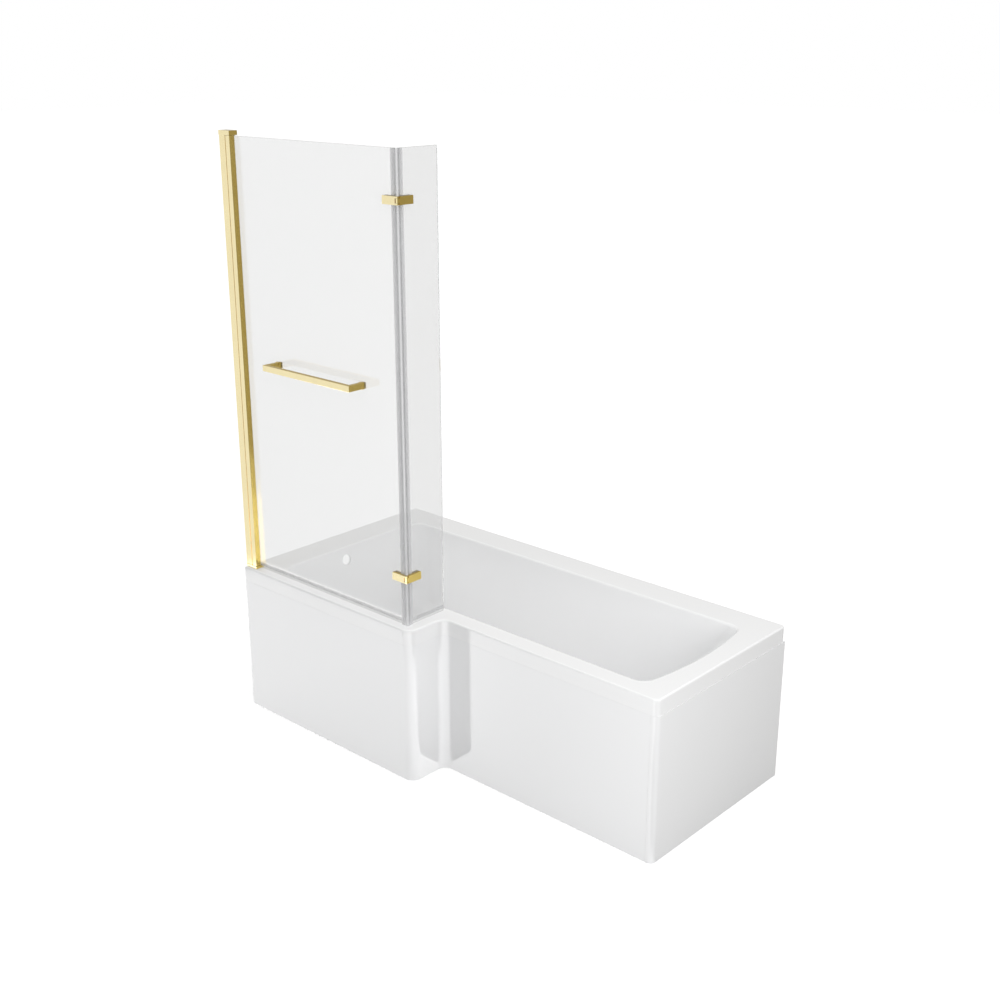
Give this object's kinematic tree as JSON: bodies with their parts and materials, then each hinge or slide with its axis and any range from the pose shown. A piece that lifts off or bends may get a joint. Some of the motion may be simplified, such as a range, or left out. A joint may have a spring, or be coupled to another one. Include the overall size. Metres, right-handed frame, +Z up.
{
  "type": "l-shaped shower bath",
  "caption": "L-shaped acrylic shower bath with stepped panels and a hinged glass screen: brass wall profile, folding return panel, corner hinges and a towel rail",
  "frame": {"origin": "on the floor under the centre of the overall box", "axes": "+X along the bath from the wall profile to the backrest end, +Y to the wall behind, +Z up"},
  "size_m": [1.702, 0.884, 2.0505],
  "materials": {
    "acrylic_shell": "gloss white acrylic",
    "acrylic_panel": "gloss white acrylic sheet",
    "chipboard": "raw chipboard",
    "timber": "sawn softwood",
    "galvanised": "zinc-plated steel",
    "foot_plastic": "black moulded plastic",
    "brass_profile": "brushed brass coating on aluminium",
    "brass_fitting": "brushed brass",
    "steel_pin": "ground stainless steel",
    "nylon": "white nylon",
    "clear_glass": "clear toughened glass",
    "clear_seal": "translucent flexible vinyl",
    "grey_rubber": "grey rubber"
  },
  "bodies": {
    "bath": {"bath_shell": "acrylic_shell", "front_panel": "acrylic_panel", "end_panel": "acrylic_panel", "rim_batten_wide_front": "timber", "rim_batten_front": "timber", "rim_batten_end": "timber", "baseboard": "chipboard", "wall_end_cradle": "galvanised", "backrest_cradle": "galvanised", "centre_leg_plate": "galvanised", "leg_fixing_screws": "galvanised", "leg_nuts": "galvanised", "back_bracket_left": "galvanised", "back_bracket_right": "galvanised", "end_bracket": "galvanised", "wall_channel": "brass_profile", "top_cap": "brass_profile", "bottom_cap": "brass_profile", "top_pivot_pin": "steel_pin", "bottom_pivot_pin": "steel_pin", "pivot_washers": "nylon"},
    "screen": {"pivot_post": "brass_profile", "glazing_gasket": "clear_seal", "main_glass": "clear_glass", "main_bottom_seal": "clear_seal", "corner_seal": "clear_seal", "towel_rail": "brass_fitting", "rail_collars": "brass_fitting", "rail_inner_caps": "brass_fitting", "rail_screws": "brass_fitting", "upper_hinge_fork": "brass_fitting", "lower_hinge_fork": "brass_fitting", "upper_hinge_pin": "steel_pin", "lower_hinge_pin": "steel_pin", "upper_hinge_main_clamp": "brass_fitting", "lower_hinge_main_clamp": "brass_fitting", "main_hinge_pads": "grey_rubber", "main_hinge_screws": "brass_fitting"},
    "return": {"return_glass": "clear_glass", "return_edge_seal": "clear_seal", "return_bottom_seal": "clear_seal", "upper_hinge_tongue": "brass_fitting", "lower_hinge_tongue": "brass_fitting", "upper_hinge_return_clamp": "brass_fitting", "lower_hinge_return_clamp": "brass_fitting", "return_hinge_pads": "grey_rubber", "return_hinge_screws": "brass_fitting"},
    "wall_end_back_leg": {"wall_end_back_leg_rod": "galvanised", "wall_end_back_leg_foot": "foot_plastic"},
    "wall_end_front_leg": {"wall_end_front_leg_rod": "galvanised", "wall_end_front_leg_foot": "foot_plastic"},
    "backrest_back_leg": {"backrest_back_leg_rod": "galvanised", "backrest_back_leg_foot": "foot_plastic"},
    "backrest_front_leg": {"backrest_front_leg_rod": "galvanised", "backrest_front_leg_foot": "foot_plastic"},
    "centre_leg": {"centre_leg_rod": "galvanised", "centre_leg_foot": "foot_plastic"}
  },
  "joints": [
    {"name": "screen_swing", "type": "hinge", "parent": "bath", "child": "screen", "pos_m": [-0.8175, -0.3948, 1.3], "axis": [0, 0, -1], "range_deg": [0, 75]},
    {"name": "return_swing", "type": "hinge", "parent": "screen", "child": "return", "pos_m": [-0.042, -0.384, 1.3], "axis": [0, 0, -1], "range_deg": [0, 90]},
    {"name": "wall_end_back_leg_level", "type": "slide", "parent": "bath", "child": "wall_end_back_leg", "axis": [0, 0, 1], "range_m": [-0.015, 0.008]},
    {"name": "wall_end_front_leg_level", "type": "slide", "parent": "bath", "child": "wall_end_front_leg", "axis": [0, 0, 1], "range_m": [-0.015, 0.008]},
    {"name": "backrest_back_leg_level", "type": "slide", "parent": "bath", "child": "backrest_back_leg", "axis": [0, 0, 1], "range_m": [-0.015, 0.008]},
    {"name": "backrest_front_leg_level", "type": "slide", "parent": "bath", "child": "backrest_front_leg", "axis": [0, 0, 1], "range_m": [-0.015, 0.008]},
    {"name": "centre_leg_level", "type": "slide", "parent": "bath", "child": "centre_leg", "axis": [0, 0, 1], "range_m": [-0.015, 0.008]}
  ]
}
